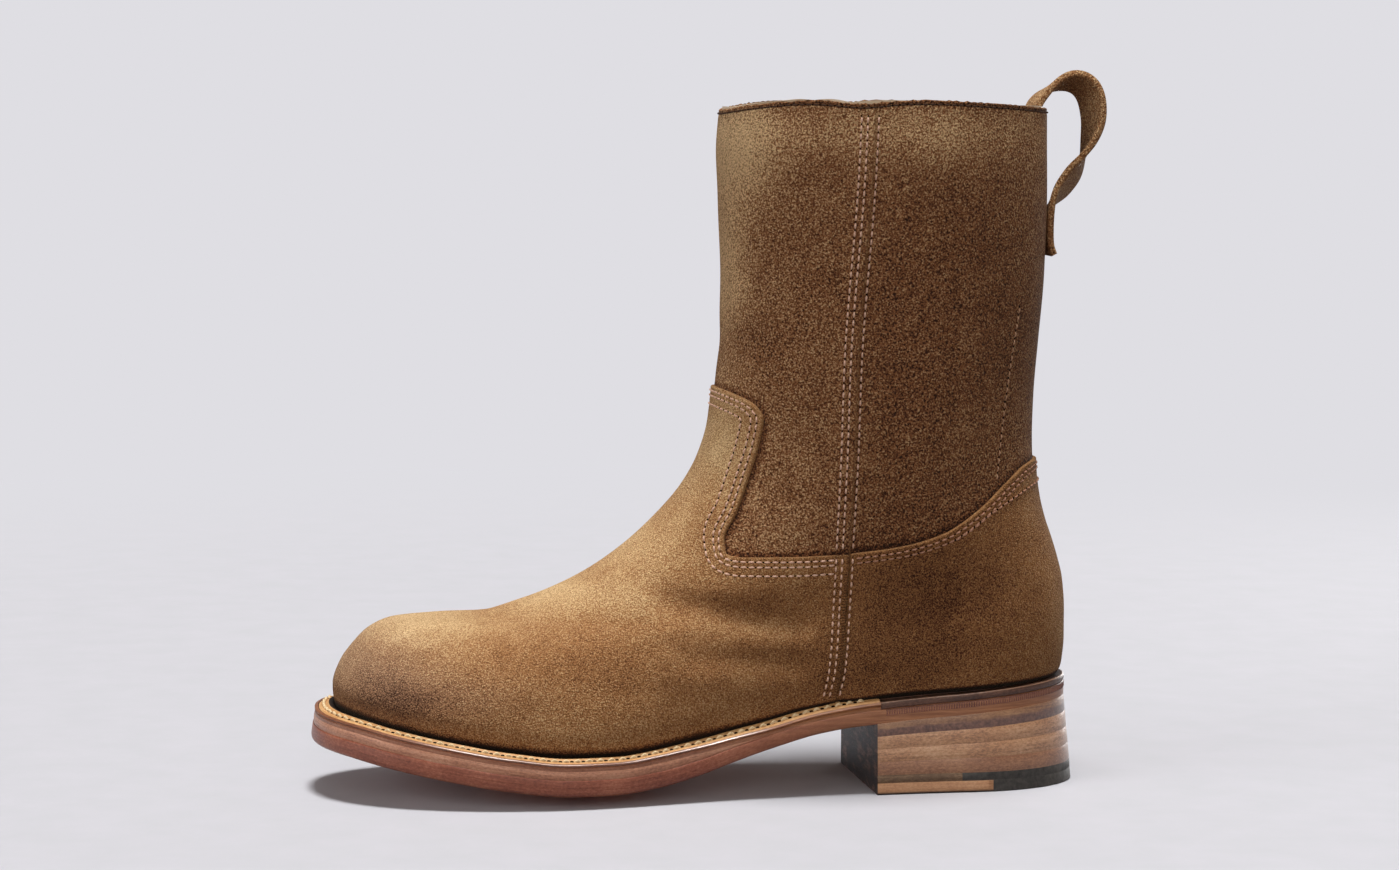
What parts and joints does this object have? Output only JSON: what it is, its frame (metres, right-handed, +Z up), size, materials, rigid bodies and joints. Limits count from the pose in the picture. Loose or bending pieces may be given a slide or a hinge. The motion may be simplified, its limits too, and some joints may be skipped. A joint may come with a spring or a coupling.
{
  "type": "suede pull-on boot",
  "caption": "Left suede pull-on boot: round vamp tongue, heel counter, leather welt and sole, stacked leather heel with a rubber back, and a strap loop at the back of the collar.",
  "frame": {"origin": "centre of the boot's bounding box, on the floor under the sole", "axes": "+X from toe to heel, +Y to the inner side of the foot, +Z up from the floor"},
  "size_m": [0.3189, 0.1098, 0.2866],
  "materials": {
    "suede_shaft": "rough brown suede, coarse nap",
    "suede": "golden brown suede, fine nap",
    "sole_edge": "burnished red-brown sole leather",
    "midsole_edge": "burnished brown sole leather",
    "natural_welt": "natural tan welt leather",
    "dark_rand": "dark dyed leather",
    "heel_leather": "waxed stacked leather",
    "top_leather": "plain tan leather",
    "top_layer": "grey-brown leather board",
    "rubber": "dull dark grey rubber",
    "insole_leather": "pale vegetable-tanned insole leather"
  },
  "bodies": {
    "root": {"upper": "suede_shaft", "vamp": "suede", "heel_counter": "suede", "pull_loop": "suede", "outsole": "sole_edge", "midsole": "midsole_edge", "welt": "natural_welt", "heel_rand": "dark_rand", "heel_lift_1": "heel_leather", "heel_lift_2": "heel_leather", "heel_lift_3": "heel_leather", "heel_lift_4": "heel_leather", "top_piece_layer": "top_layer", "top_piece_leather": "top_leather", "top_piece_rubber": "rubber", "insole": "insole_leather"}
  },
  "joints": []
}
